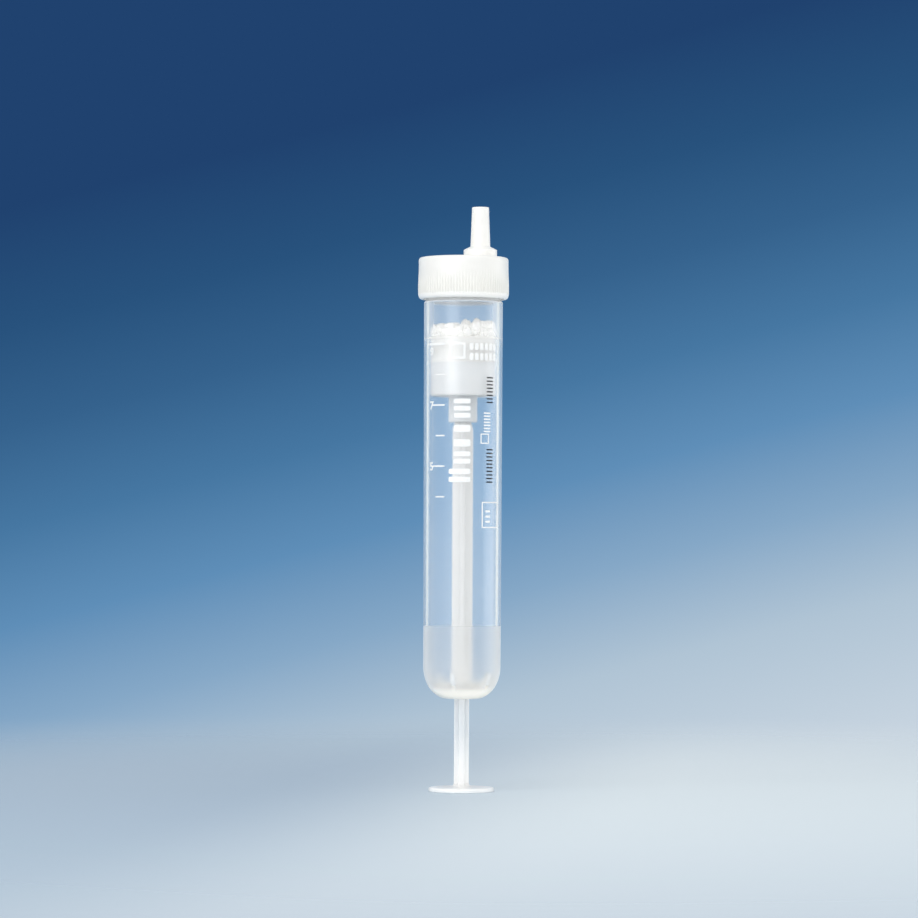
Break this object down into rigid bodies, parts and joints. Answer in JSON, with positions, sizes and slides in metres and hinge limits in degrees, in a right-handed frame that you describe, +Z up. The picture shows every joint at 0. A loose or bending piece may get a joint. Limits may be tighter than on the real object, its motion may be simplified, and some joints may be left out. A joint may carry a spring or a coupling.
{
  "type": "blood collection tube",
  "caption": "Syringe-type serum tube: clear tube with frosted base, screw cap with off-centre Luer cone, piston, beads and plunger rod.",
  "frame": {"origin": "centre of the thumb disc's underside, on the tube's axis", "axes": "+Z up along the tube's axis, from the thumb disc to the Luer cone; +X from the tube's axis towards the off-centre Luer cone; the print faces -Y"},
  "size_m": [0.0188, 0.0188, 0.1209],
  "materials": {
    "clear_plastic": "clear, slightly hazy polypropylene, matt below the frosting line",
    "white_plastic": "white moulded plastic, satin",
    "milky_plastic": "milky translucent moulded plastic",
    "rod_plastic": "white, slightly translucent moulded plastic",
    "bead_plastic": "coated white pellets, dull"
  },
  "bodies": {
    "tube": {"tube": "clear_plastic"},
    "cap": {"screw_cap": "white_plastic"},
    "plunger": {"plunger_rod": "rod_plastic", "piston": "milky_plastic", "clot_bead_01": "bead_plastic", "clot_bead_02": "bead_plastic", "clot_bead_03": "bead_plastic", "clot_bead_04": "bead_plastic", "clot_bead_05": "bead_plastic", "clot_bead_06": "bead_plastic", "clot_bead_07": "bead_plastic", "clot_bead_08": "bead_plastic", "clot_bead_09": "bead_plastic", "clot_bead_10": "bead_plastic", "clot_bead_11": "bead_plastic", "clot_bead_12": "bead_plastic", "clot_bead_13": "bead_plastic", "clot_bead_14": "bead_plastic", "clot_bead_15": "bead_plastic", "clot_bead_16": "bead_plastic", "clot_bead_17": "bead_plastic", "clot_bead_18": "bead_plastic", "clot_bead_19": "bead_plastic", "clot_bead_20": "bead_plastic", "clot_bead_21": "bead_plastic", "clot_bead_22": "bead_plastic", "clot_bead_23": "bead_plastic", "clot_bead_24": "bead_plastic", "clot_bead_25": "bead_plastic", "clot_bead_26": "bead_plastic", "clot_bead_27": "bead_plastic", "clot_bead_28": "bead_plastic", "clot_bead_29": "bead_plastic", "clot_bead_30": "bead_plastic", "clot_bead_31": "bead_plastic", "clot_bead_32": "bead_plastic", "clot_bead_33": "bead_plastic", "clot_bead_34": "bead_plastic", "clot_bead_35": "bead_plastic", "clot_bead_36": "bead_plastic", "clot_bead_37": "bead_plastic", "clot_bead_38": "bead_plastic", "clot_bead_39": "bead_plastic", "clot_bead_40": "bead_plastic", "clot_bead_41": "bead_plastic", "clot_bead_42": "bead_plastic", "clot_bead_43": "bead_plastic", "clot_bead_44": "bead_plastic", "clot_bead_45": "bead_plastic", "clot_bead_46": "bead_plastic", "clot_bead_47": "bead_plastic", "clot_bead_48": "bead_plastic", "clot_bead_49": "bead_plastic", "clot_bead_50": "bead_plastic", "clot_bead_51": "bead_plastic", "clot_bead_52": "bead_plastic"}
  },
  "joints": [
    {"name": "plunger_slide", "type": "slide", "parent": "plunger", "child": "tube", "axis": [0, 0, 1], "range_m": [-0.003, 0.0577]},
    {"name": "cap_turn", "type": "hinge", "parent": "tube", "child": "cap", "pos_m": [0, 0, 0.1045], "axis": [0, 0, 1], "range_deg": [0, 450]}
  ]
}
